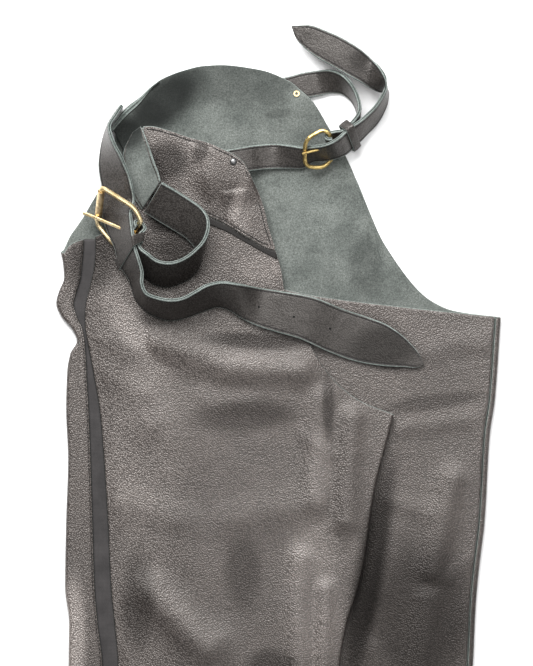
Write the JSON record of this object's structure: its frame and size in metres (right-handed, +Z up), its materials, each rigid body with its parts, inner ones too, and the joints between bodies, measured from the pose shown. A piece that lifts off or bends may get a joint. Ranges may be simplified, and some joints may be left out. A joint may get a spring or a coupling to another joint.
{
  "type": "pair of leather chaps, laid flat and folded",
  "caption": "Full-length leather chaps laid flat, folded at the centre: grain and suede sides, side zips, buckled waist belt and front strap.",
  "frame": {"origin": "centre of the bounding box's bottom face, on the surface the garment lies on", "axes": "+Z up from that surface, +Y along the legs toward the waist, +X toward the inner-leg folds"},
  "size_m": [0.444, 1.1691, 0.05],
  "materials": {
    "grain_leather": "pebbled grain outside with a soft sheen, grey-green suede inside",
    "strap_leather": "two plies, dark on both faces, pale raw edges",
    "zip_tape": "smooth dark woven tape",
    "pale_brass": "light satin brass",
    "old_brass": "darkened brass, worn brighter on the high places",
    "gunmetal": "dark grey metal"
  },
  "bodies": {
    "garment": {"belt_keeper": "strap_leather", "belt_strap_b": "strap_leather", "big_buckle_frame": "pale_brass", "big_buckle_roller": "pale_brass", "big_buckle_tongue": "pale_brass", "buckle_strap_a": "strap_leather", "front_buckle_strap_b": "strap_leather", "front_keeper": "strap_leather", "front_strap_a": "strap_leather", "leg_a_back": "grain_leather", "leg_a_front": "grain_leather", "leg_b_back": "grain_leather", "leg_b_front": "grain_leather", "pocket_zip_a": "zip_tape", "rivet_a": "gunmetal", "rivet_b": "pale_brass", "small_buckle_frame": "old_brass", "small_buckle_tongue": "old_brass", "yoke_a": "grain_leather", "yoke_b": "grain_leather", "yoke_end_a": "grain_leather", "zip_slider_a": "gunmetal", "zip_slider_b": "gunmetal", "zip_tape_a": "zip_tape", "zip_tape_b": "zip_tape"},
    "pull_a": {"zip_pull_a": "gunmetal"},
    "pull_b": {"zip_pull_b": "gunmetal"}
  },
  "joints": [
    {"name": "pull_a_hinge", "type": "hinge", "parent": "garment", "child": "pull_a", "pos_m": [-0.15454, -0.543, 0.01025], "axis": [-1, 0, 0], "range_deg": [0, 170]},
    {"name": "pull_b_hinge", "type": "hinge", "parent": "garment", "child": "pull_b", "pos_m": [-0.03793, -0.446, 0.0042], "axis": [1, 0, 0], "range_deg": [0, 170]}
  ]
}
